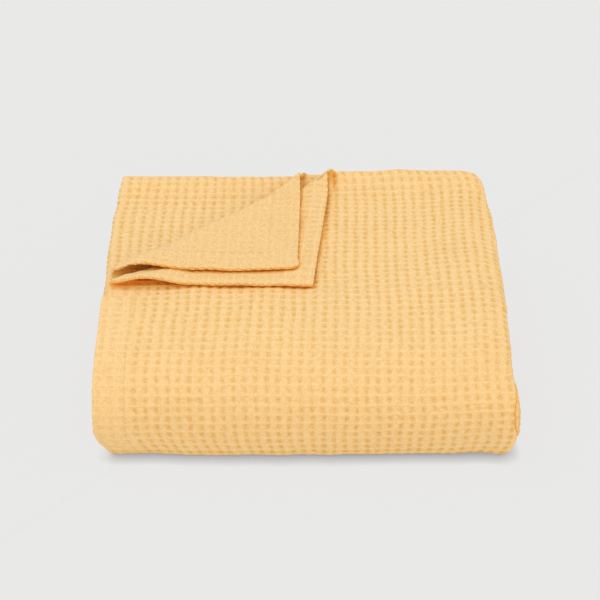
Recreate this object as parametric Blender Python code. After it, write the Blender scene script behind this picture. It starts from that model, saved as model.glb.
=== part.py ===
"""Waffle weave cotton blanket, folded into a pack, with one corner turned back.

It is one cut panel with its hems. The panel is folded in four across its width, and the
bundle of four plies is then folded in three laps round the front of the pack, so that one
unbroken round front shows and the cut ends lie at the back. At the back left corner the
two loose plies are turned over diagonally, one on the other.

Metres, +Z up. +X is the pack's right side, -Y its front, and the floor is z = 0.
"""

import math

import bmesh
import bpy
import numpy as np

# The folded pack, over the flat of its top
PACK_WIDTH = 0.350
PACK_DEPTH = 0.304
PACK_HEIGHT = 0.091

# The cloth and its hems
CLOTH = 0.0022
HEM = 0.0029
HEM_WIDTH = 0.028
HEM_STEP = 0.0015

# The folding: four plies in the bundle, three laps, so twelve U-shaped layers that lie
# one inside the other, counted from the outside
PLIES = 4
LAPS = 3
LAYERS = PLIES * LAPS
PITCH = (PACK_HEIGHT - CLOTH) / (2 * LAYERS - 1)
SIDE_TURN = 1.5 * PITCH
SIDE_BEND = 0.5 * PITCH
LOOSE_EDGE_INSET = 0.002

# The round front of the outermost layer, as arcs. Tilt is how far the cloth has turned
# down from level, and run is the length of cloth from where the top starts to fall.
FRONT_TILT = (0, 5, 13, 23, 35, 62, 87, 106, 180)
FRONT_RUN = (0, 0.035, 0.064, 0.092, 0.109, 0.131, 0.153, 0.175, 0.183)
INNER_FOLD_BEHIND_FRONT = 0.075

# The two turned-back corners. Left and back are where the crease meets the loose edge and
# the end, from the pack's back left corner. The tip is where the corner comes to lie,
# from the pack's middle and its back. Radii are those of the soft crease at its two ends,
# pull is how far the turning draws the end of the ply forward there, and bow is how far the
# flap's side edge bows towards the front.
CORNERS = {
    "upper": {
        "ply": 0, "left": 0.181, "back": 0.212, "tip": (0.010, 0.187), "pull": 0.004,
        "radius_left": 0.0021, "radius_back": 0.0036, "bow": 0.000,
    },
    "lower": {
        "ply": 1, "left": 0.171, "back": 0.175, "tip": (-0.003, 0.156), "pull": 0.010,
        "radius_left": 0.0052, "radius_back": 0.0028, "bow": 0.005,
    },
}
PULL_SPREAD = 0.060
BOW_WIDTH = 0.090
LOWER_CLIMB_LEFT = 0.004
LOWER_CLIMB_BACK = 0.011
FLAP_GAP = 0.0040
FLAP_SETTLES_OVER = 0.050
CREASE_CUTS = (0, 0.0025, 0.005, 0.008, 0.012, 0.020, 0.032)

# How the pack lies: the back stands up on its thick hems, more so at the left, and the
# top has slow swells
HEM_RISE_LEFT = 0.0100
HEM_RISE_RIGHT = 0.0070
HEM_RISE_DEPTH = 0.040
SIDE_DROOP = 0.0040
SIDE_DROOP_WIDTH = 0.030
SWELL = 0.0008
SWELL_ACROSS = 0.31
SWELL_BACK = 0.24
SWELL_STARTS = (0.7, 0.4)

# What lies lower than this is pressed flat on the floor
FLOOR_PRESS = 0.0001

# The middle of the outline, from the middle of the flat top: the right side bulges more
OUTLINE_MIDDLE_X = 0.0020
OUTLINE_MIDDLE_Y = 0.0

# How the flat panel is divided for folding: parts in each ply and fold across, shares of
# the runs along, and tilts round the fronts
ACROSS_PARTS = (4, 6, 4, 4, 4, 4, 4)
TOP_PARTS = 4
LOW_PARTS = 3
BACK_FOLD_PARTS = 5
FLOOR_SHARES = (0.03, 0.35, 0.65, 0.97, 1.0)
SECOND_HIGH_SHARES = (0.45, 0.86, 0.93, 1.0)
THIRD_HIGH_SHARES = (0.07, 0.13, 0.55, 1.0)
OUTER_TILTS = (5, 13, 23, 35, 48, 62, 75, 87, 98, 108, 126, 144, 162, 180)
INNER_TILTS = (15, 35, 60, 87, 108, 132, 156, 180)
CREASE_REACH = 0.72
CUT_TOLERANCE = 0.0004
LENGTH_SAMPLES = 400

CLOTH_COLOUR = (0.87, 0.59, 0.24, 1.0)


def smooth(value):
    """Ease from 0 to 1."""
    t = np.clip(value, 0.0, 1.0)
    return t * t * (3.0 - 2.0 * t)


# ---- The front: nested round ends ------------------------------------------------------

def front_arcs():
    """Tilt, depth and drop at each joint of the outermost front, and each arc's radius."""
    tilt = np.radians(FRONT_TILT)
    radius = np.diff(FRONT_RUN) / np.diff(tilt)
    drop = np.append(0.0, np.cumsum(radius * (np.cos(tilt[:-1]) - np.cos(tilt[1:]))))
    depth = np.append(0.0, np.cumsum(radius * np.diff(np.sin(tilt))))
    fit = (PACK_HEIGHT - CLOTH) / drop[-1]
    return tilt, radius * fit, depth * fit, drop * fit


ARC_TILT, ARC_RADIUS, ARC_DEPTH, ARC_DROP = front_arcs()
FRONT_REACH = float(ARC_DEPTH.max())
FRONT_START = PACK_DEPTH - CLOTH / 2 - FRONT_REACH
TOP_LEVEL = PACK_HEIGHT - CLOTH / 2
MIDDLE_LEVEL = PACK_HEIGHT / 2
INNER_FOLD_DEPTH = PACK_DEPTH - INNER_FOLD_BEHIND_FRONT


def front_tilt(share):
    """Tilt at a share of the way round the front."""
    run = np.asarray(share) * FRONT_RUN[-1]
    return np.interp(run, FRONT_RUN, ARC_TILT)


def front_point(tilt, layer):
    """Depth from the back and height of a layer of the front, where it has this tilt."""
    arc = np.clip(np.searchsorted(ARC_TILT, tilt, side="right") - 1, 0, len(ARC_RADIUS) - 1)
    start = ARC_TILT[arc]
    radius = ARC_RADIUS[arc]
    outer_depth = FRONT_START + ARC_DEPTH[arc] + radius * (np.sin(tilt) - np.sin(start))
    outer_level = TOP_LEVEL - ARC_DROP[arc] - radius * (np.cos(start) - np.cos(tilt))
    inner_depth = INNER_FOLD_DEPTH + SIDE_BEND * np.sin(tilt)
    inner_level = MIDDLE_LEVEL + SIDE_BEND * np.cos(tilt)
    inward = layer / (LAYERS - 1)
    depth = outer_depth + (inner_depth - outer_depth) * inward
    level = outer_level + (inner_level - outer_level) * inward
    return depth, level


# ---- Across the width: four plies ------------------------------------------------------

RIGHT = PACK_WIDTH / 2 - CLOTH / 2
LEFT = -PACK_WIDTH / 2
LEFT_FOLD = LEFT + CLOTH / 2 + SIDE_BEND

# One row for each ply and each fold between them: where it starts and ends across the
# pack, the ply it starts and ends on, and to which side the fold bulges
ACROSS = (
    {"from": LEFT, "to": RIGHT - SIDE_TURN, "plies": (0, 0), "side": 0},
    {"from": RIGHT - SIDE_TURN, "to": RIGHT - SIDE_TURN, "plies": (0, 3), "side": 1},
    {"from": RIGHT - SIDE_TURN, "to": LEFT_FOLD, "plies": (3, 3), "side": 0},
    {"from": LEFT_FOLD, "to": LEFT_FOLD, "plies": (3, 2), "side": -1},
    {"from": LEFT_FOLD, "to": RIGHT - SIDE_TURN, "plies": (2, 2), "side": 0},
    {"from": RIGHT - SIDE_TURN, "to": RIGHT - SIDE_TURN, "plies": (2, 1), "side": 1},
    {"from": RIGHT - SIDE_TURN, "to": LEFT + LOOSE_EDGE_INSET, "plies": (1, 1), "side": 0},
)


def across_length(row):
    """Length of cloth in a ply or in the fold beside it."""
    first, last = row["plies"]
    if row["side"]:
        return math.pi * abs(last - first) * PITCH / 2
    return abs(row["to"] - row["from"])


ACROSS_STARTS = np.cumsum([0.0] + [across_length(row) for row in ACROSS])
CUT_WIDTH = float(ACROSS_STARTS[-1])


def across(u):
    """Place across the pack and ply, at a distance along the cut width."""
    index = np.clip(np.searchsorted(ACROSS_STARTS, u, side="right") - 1, 0, len(ACROSS) - 1)
    x = np.zeros_like(u)
    ply = np.zeros_like(u)
    for number, row in enumerate(ACROSS):
        here = index == number
        t = (u[here] - ACROSS_STARTS[number]) / across_length(row)
        first, last = row["plies"]
        bulge = abs(last - first) * PITCH / 2
        x[here] = row["from"] + (row["to"] - row["from"]) * t
        x[here] += row["side"] * bulge * np.sin(math.pi * t)
        ply[here] = (first + last) / 2 + (first - last) / 2 * np.cos(math.pi * t)
        if not row["side"]:
            ply[here] = first
    return x, ply


# ---- Along the length: three laps ------------------------------------------------------

BACK_INSET = 0.001
FOLD_LINE = (PLIES - 0.5) * PITCH + CLOTH / 2 + BACK_INSET
LAST_END = 0.008


def top_run(layer_of, back):
    """A level run over the middle, from the back to where the front starts."""
    def points(t, ply):
        start, level = front_point(np.zeros_like(ply), layer_of(ply))
        return back + (start - back) * t, level
    return points


def low_run(layer_of, back):
    """A level run under the middle, from the end of the front to the back."""
    def points(t, ply):
        end, level = front_point(np.full_like(ply, math.pi), layer_of(ply))
        return end + (back - end) * t, level
    return points


def front(layer_of):
    """The way round the front, from top to bottom."""
    def points(t, ply):
        return front_point(front_tilt(t), layer_of(ply))
    return points


def back_fold(layer_of, between, side):
    """A fold at the back, round the level between two laps."""
    def points(t, ply):
        radius = np.abs(layer_of(ply) - between) * PITCH
        level = MIDDLE_LEVEL + side * (LAYERS - 0.5 - between) * PITCH
        return FOLD_LINE - radius * np.sin(math.pi * t), level + side * radius * np.cos(math.pi * t)
    return points


def backwards(points):
    """The same run, followed the other way."""
    return lambda t, ply: points(1.0 - t, ply)


def first_lap(ply):
    return ply


def second_lap(ply):
    return 2 * PLIES - 1 - ply


def third_lap(ply):
    return 2 * PLIES + ply


# One row for each run and fold of the bundle, in order from the end that lies on top
ALONG = (
    {"name": "top", "points": top_run(first_lap, 0.0), "ply": 0},
    {"name": "front", "points": front(first_lap), "ply": 0},
    {"name": "floor", "points": low_run(first_lap, FOLD_LINE), "ply": 0},
    {"name": "low back fold", "points": back_fold(first_lap, PLIES - 0.5, -1), "ply": 1.5},
    {"name": "second low", "points": backwards(low_run(second_lap, FOLD_LINE)), "ply": 1.5},
    {"name": "second front", "points": backwards(front(second_lap)), "ply": 1.5},
    {"name": "second high", "points": backwards(top_run(second_lap, FOLD_LINE)), "ply": 1.5},
    {"name": "high back fold", "points": back_fold(second_lap, 2 * PLIES - 0.5, 1), "ply": 1.5},
    {"name": "third high", "points": top_run(third_lap, FOLD_LINE), "ply": 1.5},
    {"name": "third front", "points": front(third_lap), "ply": 1.5},
    {"name": "third low", "points": low_run(third_lap, LAST_END), "ply": 1.5},
)


def along_length(row):
    """Length of cloth in a run, measured on the ply that the row names."""
    t = np.linspace(0.0, 1.0, LENGTH_SAMPLES)
    depth, level = row["points"](t, np.full_like(t, row["ply"]))
    return float(np.sum(np.hypot(np.diff(depth), np.diff(level))))


ALONG_STARTS = np.cumsum([0.0] + [along_length(row) for row in ALONG])
CUT_LENGTH = float(ALONG_STARTS[-1])
RUN_NUMBER = {row["name"]: number for number, row in enumerate(ALONG)}


def run_place(name, share):
    """Distance along the cut length, at a share of a named run."""
    number = RUN_NUMBER[name]
    return ALONG_STARTS[number] + (ALONG_STARTS[number + 1] - ALONG_STARTS[number]) * share


# The corners are turned back within this length from the end on top
CORNER_LENGTH = run_place("front", 0.1)


def along(v, ply):
    """Depth from the back and height, at a distance along the cut length."""
    index = np.clip(np.searchsorted(ALONG_STARTS, v, side="right") - 1, 0, len(ALONG) - 1)
    depth = np.zeros_like(v)
    level = np.zeros_like(v)
    for number, row in enumerate(ALONG):
        here = index == number
        length = ALONG_STARTS[number + 1] - ALONG_STARTS[number]
        t = (v[here] - ALONG_STARTS[number]) / length
        depth[here], level[here] = row["points"](t, ply[here])
    return depth, level


# How far each side stands out past the pack's width, in metres, along the cloth
SIDES = (
    # run, share of it, left, right
    ("top", 0.0, 0.000, 0.000),
    ("top", 0.3, 0.004, 0.004),
    ("top", 0.5, 0.004, 0.004),
    ("top", 0.9, 0.001, 0.003),
    ("front", 0.3, 0.000, 0.003),
    ("front", 0.55, 0.001, 0.002),
    ("front", 0.66, 0.001, 0.005),
    ("front", 0.74, 0.001, 0.008),
    ("front", 0.82, 0.001, 0.008),
    ("front", 0.88, -0.002, 0.007),
    ("front", 0.94, -0.006, 0.004),
    ("front", 1.0, -0.011, 0.000),
    ("floor", 0.15, -0.010, -0.001),
    ("floor", 0.5, -0.004, -0.004),
    ("floor", 1.0, -0.001, -0.002),
    ("second low", 0.4, -0.002, 0.002),
    ("second low", 0.9, -0.001, 0.005),
    ("second front", 0.2, 0.000, 0.005),
    ("second front", 0.7, 0.001, 0.002),
    ("second high", 0.2, -0.001, 0.001),
    ("second high", 1.0, -0.002, -0.003),
    ("third high", 0.5, -0.003, -0.001),
    ("third front", 0.5, -0.001, 0.003),
    ("third low", 1.0, -0.003, -0.002),
)


def sides(x, v):
    """Draw each side in or out, and the cloth between the sides with it."""
    places = [run_place(name, share) for name, share, _, _ in SIDES]
    left = np.interp(v, places, [row[2] for row in SIDES])
    right = np.interp(v, places, [row[3] for row in SIDES])
    half = PACK_WIDTH / 2
    return x - left * (half - x) / PACK_WIDTH + right * (half + x) / PACK_WIDTH


# ---- The turned-back corner ------------------------------------------------------------

def crease_frame(corner):
    """A crease's left end, its direction, and the direction towards the loose corner."""
    start = np.array([LEFT, corner["left"]])
    end = np.array([LEFT + corner["back"], corner["pull"]])
    direction = (end - start) / np.linalg.norm(end - start)
    outward = np.array([direction[1], -direction[0]])
    return start, end, direction, outward


def turn_back(x, depth, level, corner, under):
    """Turn what lies beyond the crease over, on to the cloth that lies under the flap."""
    start, end, direction, outward = crease_frame(corner)
    length = np.linalg.norm(end - start)
    beside = 1.0 - smooth(np.abs(x - end[0]) / PULL_SPREAD)
    depth = depth + corner["pull"] * beside * (1.0 - smooth(depth / PULL_SPREAD))
    reach = (x - start[0]) * outward[0] + (depth - start[1]) * outward[1]
    travel = (x - start[0]) * direction[0] + (depth - start[1]) * direction[1]
    share = np.clip(travel / length, 0.0, 1.0)
    radius = corner["radius_left"] + (corner["radius_back"] - corner["radius_left"]) * share
    arc = math.pi * radius

    loose = np.array([LEFT, 0.0]) - start
    loose_travel = loose @ direction
    loose_reach = loose @ outward
    loose_share = loose_travel / length
    loose_radius = (corner["radius_left"]
                    + (corner["radius_back"] - corner["radius_left"]) * loose_share)
    fold = np.array(corner["tip"]) - (start + loose_travel * direction)
    fold /= loose_reach - math.pi * loose_radius

    turned = reach > 0
    angle = np.clip(reach / radius, 0.0, math.pi)
    beyond = np.clip(reach - arc, 0.0, None)
    foot_x = start[0] + travel * direction[0]
    foot_depth = start[1] + travel * direction[1]
    new_x = foot_x + radius * np.sin(angle) * outward[0] + beyond * fold[0]
    new_depth = foot_depth + radius * np.sin(angle) * outward[1] + beyond * fold[1]
    bend = radius * (1.0 - np.cos(angle))

    along_edge = np.clip(1.0 - depth / corner["left"], 0.0, 1.0)
    near_edge = 1.0 - smooth((x - LEFT) / BOW_WIDTH)
    new_depth += corner["bow"] * np.sin(math.pi * along_edge) * near_edge * (beyond > 0)

    settle = under["settle"] + under["lift"](share, beyond)
    climb = smooth(beyond / under["climb"](share))
    new_level = level + bend + np.where(beyond > 0, (settle - 2 * radius) * climb, 0.0)
    x = np.where(turned, new_x, x)
    depth = np.where(turned, new_depth, depth)
    return x, depth, np.where(turned, new_level, level)


def crease_gap(share):
    """Distance between the two creases, from their left ends to their back ends."""
    upper = CORNERS["upper"]
    lower = CORNERS["lower"]
    slope = math.atan2(lower["left"], lower["back"])
    at_left = (upper["left"] - lower["left"]) * math.cos(slope)
    at_back = (upper["back"] - lower["back"]) * math.sin(slope)
    return at_left + (at_back - at_left) * share


def upper_crease_lift(share, beyond):
    """How far the upper ply's own crease stands above its settled flap."""
    upper = CORNERS["upper"]
    radius = upper["radius_left"] + (upper["radius_back"] - upper["radius_left"]) * share
    past = beyond - crease_gap(share)
    return (2 * radius - FLAP_GAP) * (1.0 - smooth(past / FLAP_SETTLES_OVER))


RESTS = {
    "upper": {
        "settle": FLAP_GAP,
        "lift": lambda share, beyond: 0.0,
        "climb": lambda share: FLAP_SETTLES_OVER,
    },
    "lower": {
        "settle": PITCH + 2 * FLAP_GAP,
        "lift": upper_crease_lift,
        "climb": lambda share: LOWER_CLIMB_LEFT + (LOWER_CLIMB_BACK - LOWER_CLIMB_LEFT) * share,
    },
}


def loose_corners(u, v, x, depth, level):
    """Turn back the corner of the top ply and that of the ply under it."""
    top = v < CORNER_LENGTH
    for name, corner in CORNERS.items():
        near = u < ACROSS_STARTS[1] if corner["ply"] == 0 else u > ACROSS_STARTS[-2]
        here = top & near
        turned = turn_back(x[here], depth[here], level[here], corner, RESTS[name])
        x[here], depth[here], level[here] = turned
    return x, depth, level


# ---- How the whole pack lies -----------------------------------------------------------

def lie(x, depth, level):
    """Raise the back on its hems and let the top swell; the floor stays flat."""
    rightward = smooth((x - LEFT) / PACK_WIDTH)
    rise = HEM_RISE_LEFT + (HEM_RISE_RIGHT - HEM_RISE_LEFT) * rightward
    above = np.clip((level - MIDDLE_LEVEL) / (PACK_HEIGHT - MIDDLE_LEVEL), 0.0, None)
    raised = level + rise * (1.0 - smooth(depth / HEM_RISE_DEPTH)) * above
    raised -= SIDE_DROOP * smooth((x - RIGHT) / SIDE_DROOP_WIDTH + 1.0) ** 2 * above
    across_wave = np.sin(2 * math.pi * x / SWELL_ACROSS + SWELL_STARTS[0])
    back_wave = np.sin(2 * math.pi * depth / SWELL_BACK + SWELL_STARTS[1])
    return raised + SWELL * across_wave * back_wave * above


def hem_share(u, v):
    """1 on a hem and 0 on the single cloth beside it."""
    edge = np.minimum(np.minimum(u, CUT_WIDTH - u), np.minimum(v, CUT_LENGTH - v))
    return np.clip((HEM_WIDTH + HEM_STEP - edge) / HEM_STEP, 0.0, 1.0)


def place(u, v):
    """Where a point of the cut panel comes to lie in the pack."""
    x, ply = across(u)
    depth, level = along(v, ply)
    on_floor = (v > run_place("front", 0.9)) & (v < run_place("floor", 1.0)) & (ply < 0.5)
    level = level + np.where(on_floor, hem_share(u, v) * (HEM - CLOTH) / 2, 0.0)
    x = sides(x, v)
    x, depth, level = loose_corners(u, v, x, depth, level)
    level = lie(x, depth, level)
    y = PACK_DEPTH / 2 - depth
    return np.column_stack([x - OUTLINE_MIDDLE_X, y - OUTLINE_MIDDLE_Y, level])


# ---- The panel -------------------------------------------------------------------------

def width_lines():
    """Where the panel is divided across its width."""
    lines = [0.0, HEM_WIDTH, HEM_WIDTH + HEM_STEP]
    for number, count in enumerate(ACROSS_PARTS):
        start, end = ACROSS_STARTS[number], ACROSS_STARTS[number + 1]
        first = start if number else HEM_WIDTH + HEM_STEP
        last = end if number < len(ACROSS_PARTS) - 1 else CUT_WIDTH - HEM_WIDTH - HEM_STEP
        lines += [first + (last - first) * step / count for step in range(1, count + 1)]
    return lines + [CUT_WIDTH - HEM_WIDTH, CUT_WIDTH]


def length_lines():
    """Where the panel is divided along its length."""
    lines = [0.0, HEM_WIDTH / 2, HEM_WIDTH, HEM_WIDTH + HEM_STEP, HEM_RISE_DEPTH]
    rest = run_place("top", 1.0) - HEM_RISE_DEPTH
    lines += [HEM_RISE_DEPTH + rest * share for share in even_shares(TOP_PARTS)]
    inner = tilt_shares(INNER_TILTS)
    shares = {
        "front": tilt_shares(OUTER_TILTS),
        "floor": FLOOR_SHARES,
        "low back fold": even_shares(BACK_FOLD_PARTS),
        "second low": even_shares(LOW_PARTS),
        "second front": [1.0 - share for share in reversed([0.0] + inner)][1:],
        "second high": SECOND_HIGH_SHARES,
        "high back fold": even_shares(BACK_FOLD_PARTS),
        "third high": THIRD_HIGH_SHARES,
        "third front": inner,
        "third low": even_shares(LOW_PARTS),
    }
    for row in ALONG[1:]:
        lines += [run_place(row["name"], share) for share in shares[row["name"]]]
    return lines


def even_shares(parts):
    """The ends of equal parts of a run, as shares of it."""
    return [step / parts for step in range(1, parts + 1)]


def tilt_shares(tilts):
    """The shares of the way round the front at which the cloth has these tilts."""
    return [float(np.interp(tilt, FRONT_TILT, FRONT_RUN)) / FRONT_RUN[-1] for tilt in tilts]


def crease_line(corner, cut):
    """A point on, and the normal of, a line beside a crease on the flat panel."""
    start, _, _, outward = crease_frame(corner)
    point = start + outward * cut - np.array([LEFT, 0.0])
    if corner["ply"] == 0:
        return (point[0], point[1], 0.0), (outward[0], outward[1], 0.0)
    return (CUT_WIDTH - point[0], point[1], 0.0), (-outward[0], outward[1], 0.0)


def divide_corner(panel, corner):
    """Divide the panel along the crease, so that the flap can bend over it."""
    for cut in CREASE_CUTS:
        point, normal = crease_line(corner, cut)
        near = []
        for face in panel.faces:
            centre = face.calc_center_median()
            from_edge = centre.x if corner["ply"] == 0 else CUT_WIDTH - centre.x
            if from_edge < PACK_WIDTH * CREASE_REACH and centre.y < CORNER_LENGTH:
                near.append(face)
        edges = {edge for face in near for edge in face.edges}
        points = {vert for face in near for vert in face.verts}
        bmesh.ops.bisect_plane(
            panel, geom=near + list(edges) + list(points), dist=CUT_TOLERANCE,
            plane_co=point, plane_no=normal)


def flat_panel():
    """The cut panel, laid flat and divided where it will fold."""
    across_lines = width_lines()
    along_lines = length_lines()
    panel = bmesh.new()
    bmesh.ops.create_grid(
        panel, x_segments=len(across_lines) - 1, y_segments=len(along_lines) - 1, size=0.5)
    for vert in panel.verts:
        column = round((vert.co.x + 0.5) * (len(across_lines) - 1))
        row = round((vert.co.y + 0.5) * (len(along_lines) - 1))
        vert.co = (across_lines[column], along_lines[row], 0.0)
    for corner in CORNERS.values():
        divide_corner(panel, corner)
    bmesh.ops.triangulate(panel, faces=panel.faces[:])
    return panel


def cotton():
    material = bpy.data.materials.new("waffle_cotton")
    material.use_nodes = True
    finish = material.node_tree.nodes["Principled BSDF"]
    finish.inputs["Base Color"].default_value = CLOTH_COLOUR
    finish.inputs["Roughness"].default_value = 0.9
    finish.inputs["Metallic"].default_value = 0.0
    material.diffuse_color = CLOTH_COLOUR
    return material


def blanket():
    """Fold the panel, give the cloth its thickness and press its underside flat."""
    panel = flat_panel()
    flat = np.array([vert.co[:] for vert in panel.verts])
    folded = place(flat[:, 0].copy(), flat[:, 1].copy())
    hem = hem_share(flat[:, 0], flat[:, 1])
    for vert, spot in zip(panel.verts, folded):
        vert.co = spot
    mesh = bpy.data.meshes.new("blanket")
    panel.to_mesh(mesh)
    panel.free()
    mesh.materials.append(cotton())

    body = bpy.data.objects.new("blanket", mesh)
    bpy.context.collection.objects.link(body)
    group = body.vertex_groups.new(name="hem")
    for index, share in enumerate(hem):
        if share > 0:
            group.add([index], float(share), "REPLACE")
    thicken = body.modifiers.new("thickness", "SOLIDIFY")
    thicken.thickness = HEM
    thicken.offset = 0.0
    thicken.vertex_group = "hem"
    thicken.thickness_vertex_group = CLOTH / HEM
    bpy.context.view_layer.objects.active = body
    bpy.ops.object.modifier_apply(modifier=thicken.name)
    for vert in body.data.vertices:
        if vert.co.z < FLOOR_PRESS:
            vert.co.z = 0.0
    return body


for old in list(bpy.data.objects):
    bpy.data.objects.remove(old, do_unlink=True)
blanket()
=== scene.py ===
import math

import bpy
import numpy as np
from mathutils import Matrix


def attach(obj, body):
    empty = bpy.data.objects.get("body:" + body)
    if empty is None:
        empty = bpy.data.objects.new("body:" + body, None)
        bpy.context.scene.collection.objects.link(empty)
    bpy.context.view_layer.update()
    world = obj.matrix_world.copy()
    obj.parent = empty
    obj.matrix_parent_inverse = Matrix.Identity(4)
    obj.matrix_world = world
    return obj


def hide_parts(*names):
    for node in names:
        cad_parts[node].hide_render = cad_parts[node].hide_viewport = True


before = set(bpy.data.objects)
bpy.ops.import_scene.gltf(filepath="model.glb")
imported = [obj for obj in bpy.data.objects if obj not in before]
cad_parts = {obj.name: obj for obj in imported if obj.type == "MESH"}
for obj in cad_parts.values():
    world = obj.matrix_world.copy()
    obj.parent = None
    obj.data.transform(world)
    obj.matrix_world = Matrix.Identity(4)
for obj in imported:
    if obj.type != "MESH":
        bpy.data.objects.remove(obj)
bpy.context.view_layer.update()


# ---- The cloth over the top of the pack ------------------------------------------------
# One panel of waffle weave cotton with turned and stitched hems. It is folded in four
# across its width and then in three laps round the front, and the corners of its two top
# plies are turned back. This piece is the stretch of the outer ply that lies on top.

PACK_WIDTH = 0.350
PACK_DEPTH = 0.304
PACK_HEIGHT = 0.091
CLOTH = 0.0022
HEM = 0.0029
HEM_WIDTH = 0.028
HEM_STEP = 0.0015
PLIES = 4
LAPS = 3
LAYERS = PLIES * LAPS
PITCH = (PACK_HEIGHT - CLOTH) / (2 * LAYERS - 1)
MIDDLE_PLY = (PLIES - 1) / 2
SIDE_TURN = MIDDLE_PLY * PITCH
SIDE_BEND = 0.5 * PITCH
LOOSE_EDGE_INSET = 0.002
TOP_LEVEL = PACK_HEIGHT - CLOTH / 2
MIDDLE_LEVEL = PACK_HEIGHT / 2
RIGHT = PACK_WIDTH / 2 - CLOTH / 2
LEFT = -PACK_WIDTH / 2
LEFT_FOLD = LEFT + CLOTH / 2 + SIDE_BEND
OUTLINE_MIDDLE = 0.0020


def smooth(value):
    """Ease from 0 to 1."""
    t = np.clip(value, 0.0, 1.0)
    return t * t * (3.0 - 2.0 * t)


# The round front of the outermost layer: how far the cloth has tilted, in degrees, at
# each length of cloth from where the top starts to fall
FRONT_TILT = (0, 5, 13, 23, 35, 62, 87, 106, 180)
FRONT_RUN = (0, 0.035, 0.064, 0.092, 0.109, 0.131, 0.153, 0.175, 0.183)
INNER_FOLD_BEHIND_FRONT = 0.075

arc_tilt = np.radians(FRONT_TILT)
arc_radius = np.diff(FRONT_RUN) / np.diff(arc_tilt)
arc_drop = np.append(0.0, np.cumsum(arc_radius * -np.diff(np.cos(arc_tilt))))
front_fit = (PACK_HEIGHT - CLOTH) / arc_drop[-1]
arc_radius = arc_radius * front_fit
arc_drop = arc_drop * front_fit
arc_depth = np.append(0.0, np.cumsum(arc_radius * np.diff(np.sin(arc_tilt))))
front_start = PACK_DEPTH - CLOTH / 2 - float(arc_depth.max())


def front_point(tilt, layer):
    """Depth from the back and height of a layer of the round front, at a tilt."""
    arc = np.clip(np.searchsorted(arc_tilt, tilt, side="right") - 1, 0, len(arc_radius) - 1)
    start, radius = arc_tilt[arc], arc_radius[arc]
    outer_depth = front_start + arc_depth[arc] + radius * (np.sin(tilt) - np.sin(start))
    outer_level = TOP_LEVEL - arc_drop[arc] - radius * (np.cos(start) - np.cos(tilt))
    inner_depth = PACK_DEPTH - INNER_FOLD_BEHIND_FRONT + SIDE_BEND * np.sin(tilt)
    inner_level = MIDDLE_LEVEL + SIDE_BEND * np.cos(tilt)
    inward = layer / (LAYERS - 1)
    return (outer_depth + (inner_depth - outer_depth) * inward,
            outer_level + (inner_level - outer_level) * inward)


# Across the width: one row for each ply and each fold between two plies
ACROSS = (
    {"from": LEFT, "to": RIGHT - SIDE_TURN, "plies": (0, 0), "side": 0},
    {"from": RIGHT - SIDE_TURN, "to": RIGHT - SIDE_TURN, "plies": (0, 3), "side": 1},
    {"from": RIGHT - SIDE_TURN, "to": LEFT_FOLD, "plies": (3, 3), "side": 0},
    {"from": LEFT_FOLD, "to": LEFT_FOLD, "plies": (3, 2), "side": -1},
    {"from": LEFT_FOLD, "to": RIGHT - SIDE_TURN, "plies": (2, 2), "side": 0},
    {"from": RIGHT - SIDE_TURN, "to": RIGHT - SIDE_TURN, "plies": (2, 1), "side": 1},
    {"from": RIGHT - SIDE_TURN, "to": LEFT + LOOSE_EDGE_INSET, "plies": (1, 1), "side": 0},
)
across_lengths = [
    math.pi * abs(row["plies"][1] - row["plies"][0]) * PITCH / 2
    if row["side"] else abs(row["to"] - row["from"]) for row in ACROSS]
across_starts = np.cumsum([0.0] + across_lengths)
CUT_WIDTH = float(across_starts[-1])


def across_pack(u):
    """Place across the pack and ply, at a distance along the cut width."""
    index = np.clip(np.searchsorted(across_starts, u, side="right") - 1, 0, len(ACROSS) - 1)
    x, ply = np.zeros_like(u), np.zeros_like(u)
    for number, row in enumerate(ACROSS):
        here = index == number
        t = (u[here] - across_starts[number]) / across_lengths[number]
        first, last = row["plies"]
        x[here] = row["from"] + (row["to"] - row["from"]) * t
        ply[here] = first
        if row["side"]:
            x[here] += row["side"] * abs(last - first) * PITCH / 2 * np.sin(math.pi * t)
            ply[here] = (first + last) / 2 + (first - last) / 2 * np.cos(math.pi * t)
    return x, ply


# Along the length: one row for each run of the bundle of plies, from the end on top. The
# lap gives a ply's layer, and back folds turn round the level between two layers.
BACK_INSET = 0.001
FOLD_LINE = (PLIES - 0.5) * PITCH + CLOTH / 2 + BACK_INSET
LAST_END = 0.008
FIRST, SECOND, THIRD = (0, 1), (2 * PLIES - 1, -1), (2 * PLIES, 1)
ALONG = (
    {"name": "top", "lap": FIRST, "way": "high", "back": 0.0, "ply": 0},
    {"name": "front", "lap": FIRST, "way": "front", "ply": 0},
    {"name": "floor", "lap": FIRST, "way": "low", "back": FOLD_LINE, "ply": 0},
    {"name": "low back fold", "lap": FIRST, "way": "fold", "round": PLIES - 0.5, "side": -1,
     "ply": MIDDLE_PLY},
    {"name": "second low", "lap": SECOND, "way": "low", "back": FOLD_LINE,
     "ply": MIDDLE_PLY, "backwards": True},
    {"name": "second front", "lap": SECOND, "way": "front",
     "ply": MIDDLE_PLY, "backwards": True},
    {"name": "second high", "lap": SECOND, "way": "high", "back": FOLD_LINE,
     "ply": MIDDLE_PLY, "backwards": True},
    {"name": "high back fold", "lap": SECOND, "way": "fold", "round": 2 * PLIES - 0.5,
     "side": 1, "ply": MIDDLE_PLY},
    {"name": "third high", "lap": THIRD, "way": "high", "back": FOLD_LINE,
     "ply": MIDDLE_PLY},
    {"name": "third front", "lap": THIRD, "way": "front", "ply": MIDDLE_PLY},
    {"name": "third low", "lap": THIRD, "way": "low", "back": LAST_END,
     "ply": MIDDLE_PLY},
)


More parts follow.
